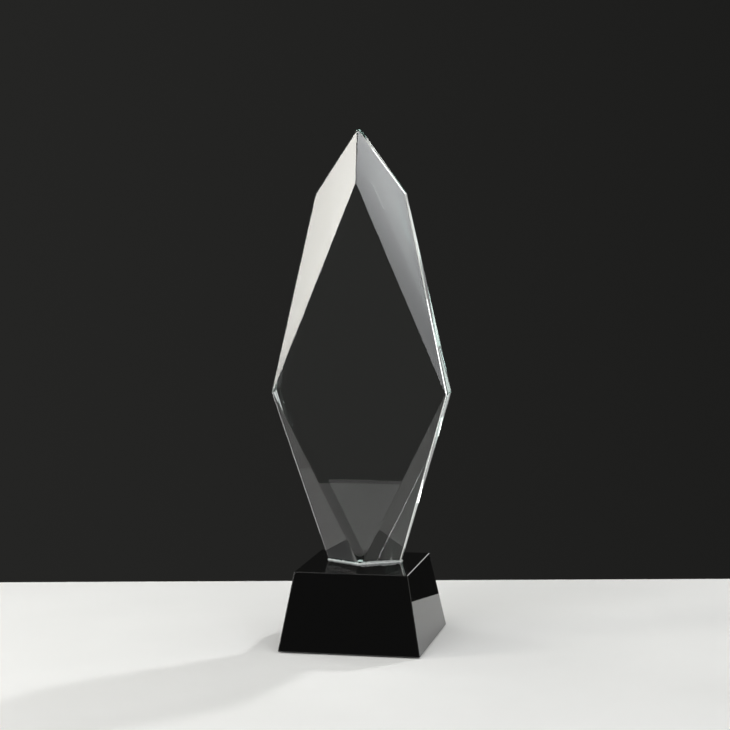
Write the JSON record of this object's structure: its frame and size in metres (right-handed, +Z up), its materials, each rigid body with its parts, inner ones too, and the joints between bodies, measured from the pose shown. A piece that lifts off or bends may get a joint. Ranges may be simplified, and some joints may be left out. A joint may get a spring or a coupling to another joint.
{
  "type": "crystal award",
  "caption": "Upright clear crystal plate with a kite-shaped engraving face and sloping bevels, bonded on edge to a black polished base block.",
  "frame": {"origin": "centre of the underside, on the surface that the award stands on", "axes": "+Z up, +X to the right seen from the front, and the engraving face looks towards -Y"},
  "size_m": [0.0904, 0.0724, 0.26],
  "materials": {
    "clear_crystal": "optically clear, polished on every face",
    "clear_glue": "cured clear adhesive",
    "black_crystal": "opaque black, mirror polished",
    "tape": "thin self-adhesive film",
    "felt": "short black felt"
  },
  "bodies": {
    "root": {"crystal_plate": "clear_crystal", "glue_film": "clear_glue", "base_block": "black_crystal", "pad_tape": "tape", "base_pad": "felt"}
  },
  "joints": []
}
